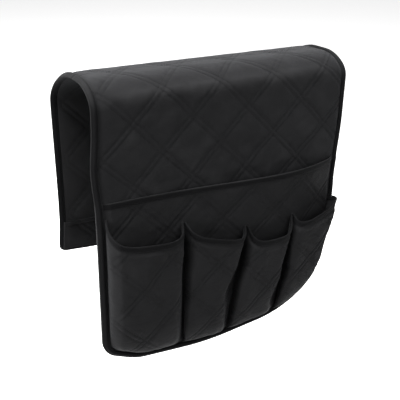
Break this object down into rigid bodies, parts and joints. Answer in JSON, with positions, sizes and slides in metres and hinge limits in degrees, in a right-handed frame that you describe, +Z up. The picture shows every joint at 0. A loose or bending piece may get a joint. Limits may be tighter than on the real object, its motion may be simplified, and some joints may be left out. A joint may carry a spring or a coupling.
{
  "type": "sofa armrest organizer",
  "caption": "Quilted saddle that hangs over a sofa arm, with a large flat pocket and small pockets on its front flap and a short flap behind.",
  "frame": {"origin": "middle of the flat strip of lining that rests on top of the arm", "axes": "+X to the right seen from the front, -Y the way the pockets face, +Z up"},
  "size_m": [0.35, 0.1615, 0.3618],
  "materials": {
    "quilted_cover": "black plain-weave polyester, quilted in diamonds",
    "wadding": "white polyester wadding",
    "lining": "black lining cloth",
    "binding": "black folded binding tape",
    "pocket_cloth": "black plain-weave polyester"
  },
  "bodies": {
    "saddle": {"top_quilted_cover": "quilted_cover", "top_padding": "wadding", "top_lining": "lining", "top_binding_left": "binding", "top_binding_right": "binding"},
    "front_flap": {"front_quilted_cover": "quilted_cover", "front_padding": "wadding", "front_lining": "lining", "front_binding": "binding", "magazine_pocket_panel": "pocket_cloth", "magazine_pocket_hem": "binding", "small_pocket_1_panel": "pocket_cloth", "small_pocket_1_hem": "binding", "small_pocket_2_panel": "pocket_cloth", "small_pocket_2_hem": "binding", "small_pocket_3_panel": "pocket_cloth", "small_pocket_3_hem": "binding", "small_pocket_4_panel": "pocket_cloth", "small_pocket_4_hem": "binding"},
    "rear_flap": {"rear_quilted_cover": "quilted_cover", "rear_padding": "wadding", "rear_lining": "lining", "rear_binding": "binding", "rear_hem_facing": "pocket_cloth"}
  },
  "joints": [
    {"name": "front_flap_fold", "type": "hinge", "parent": "saddle", "child": "front_flap", "pos_m": [0, -0.0536, -0.0245], "axis": [-1, 0, 0], "range_deg": [-10, 90]},
    {"name": "rear_flap_fold", "type": "hinge", "parent": "saddle", "child": "rear_flap", "pos_m": [0, 0.0768, -0.0441], "axis": [1, 0, 0], "range_deg": [-10, 90]}
  ]
}
